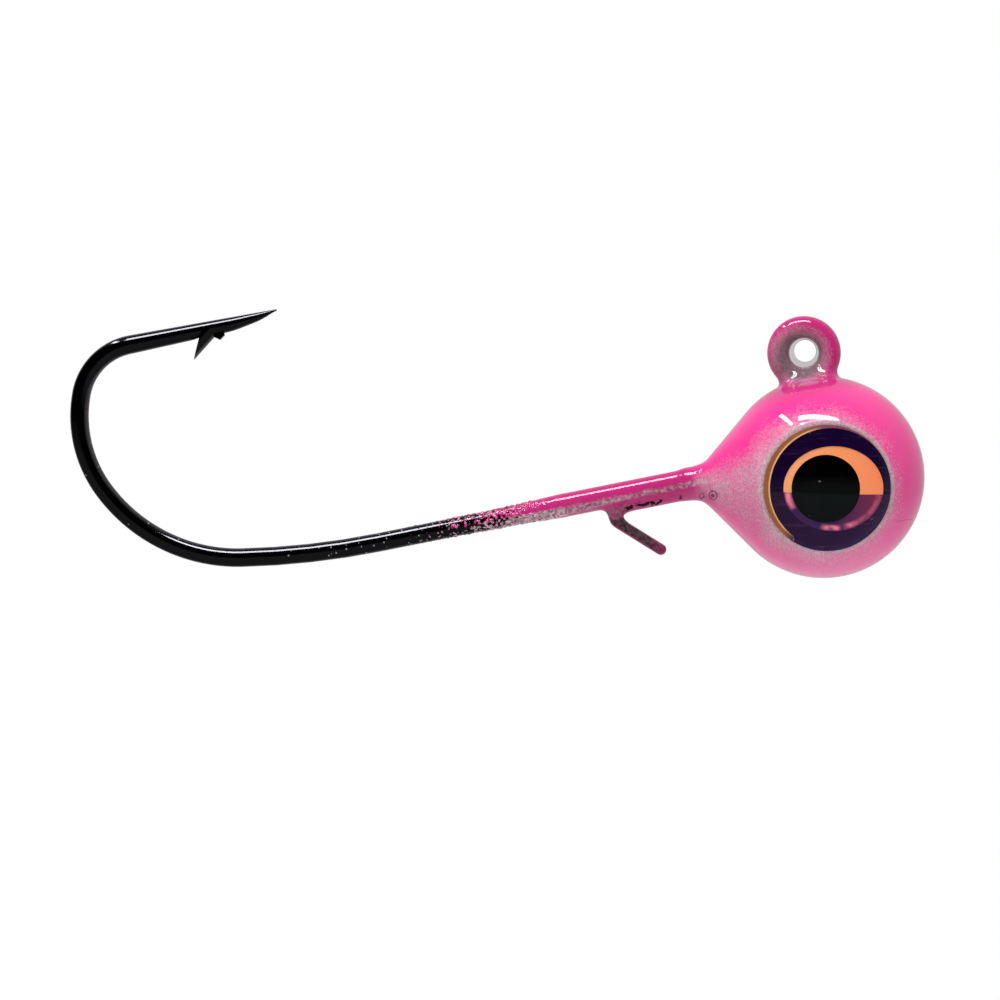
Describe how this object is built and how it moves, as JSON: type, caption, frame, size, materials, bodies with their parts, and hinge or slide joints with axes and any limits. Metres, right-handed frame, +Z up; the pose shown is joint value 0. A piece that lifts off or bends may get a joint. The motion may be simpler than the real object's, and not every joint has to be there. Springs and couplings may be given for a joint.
{
  "type": "ball jig head",
  "caption": "Ball-shaped cast jig head with a forward-bent line tie, a barbed jig hook, a folded-wire bait keeper and domed stick-on eyes.",
  "frame": {"origin": "centre of the line tie's hole, in the middle of the wire's thickness", "axes": "+X to the nose, +Y to the jig's left side along the line tie's hole, +Z up as the jig hangs from its line"},
  "size_m": [0.0683, 0.0162, 0.0215],
  "materials": {
    "black_nickel": "polished black nickel plate on high-carbon steel wire",
    "keeper_steel": "drawn stainless wire, under the coats",
    "cast_lead": "as cast, under the coats",
    "pink_powder": "hot pink powder coat with grey pearl flecks on the sides",
    "clear_epoxy": "clear, high gloss",
    "eye_adhesive": "pressure-sensitive film",
    "eye_foil": "orange metallised foil",
    "ring_ink": "dark violet ink",
    "pupil_ink": "black ink",
    "eye_resin": "clear doming resin"
  },
  "bodies": {
    "root": {"hook": "black_nickel", "bait_keeper": "keeper_steel", "lead_head": "cast_lead", "powder_coat": "pink_powder", "clear_coat": "clear_epoxy", "right_eye_adhesive": "eye_adhesive", "right_eye_foil": "eye_foil", "right_eye_ring_ink": "ring_ink", "right_eye_pupil_ink": "pupil_ink", "right_eye_dome": "eye_resin", "left_eye_adhesive": "eye_adhesive", "left_eye_foil": "eye_foil", "left_eye_ring_ink": "ring_ink", "left_eye_pupil_ink": "pupil_ink", "left_eye_dome": "eye_resin"}
  },
  "joints": []
}
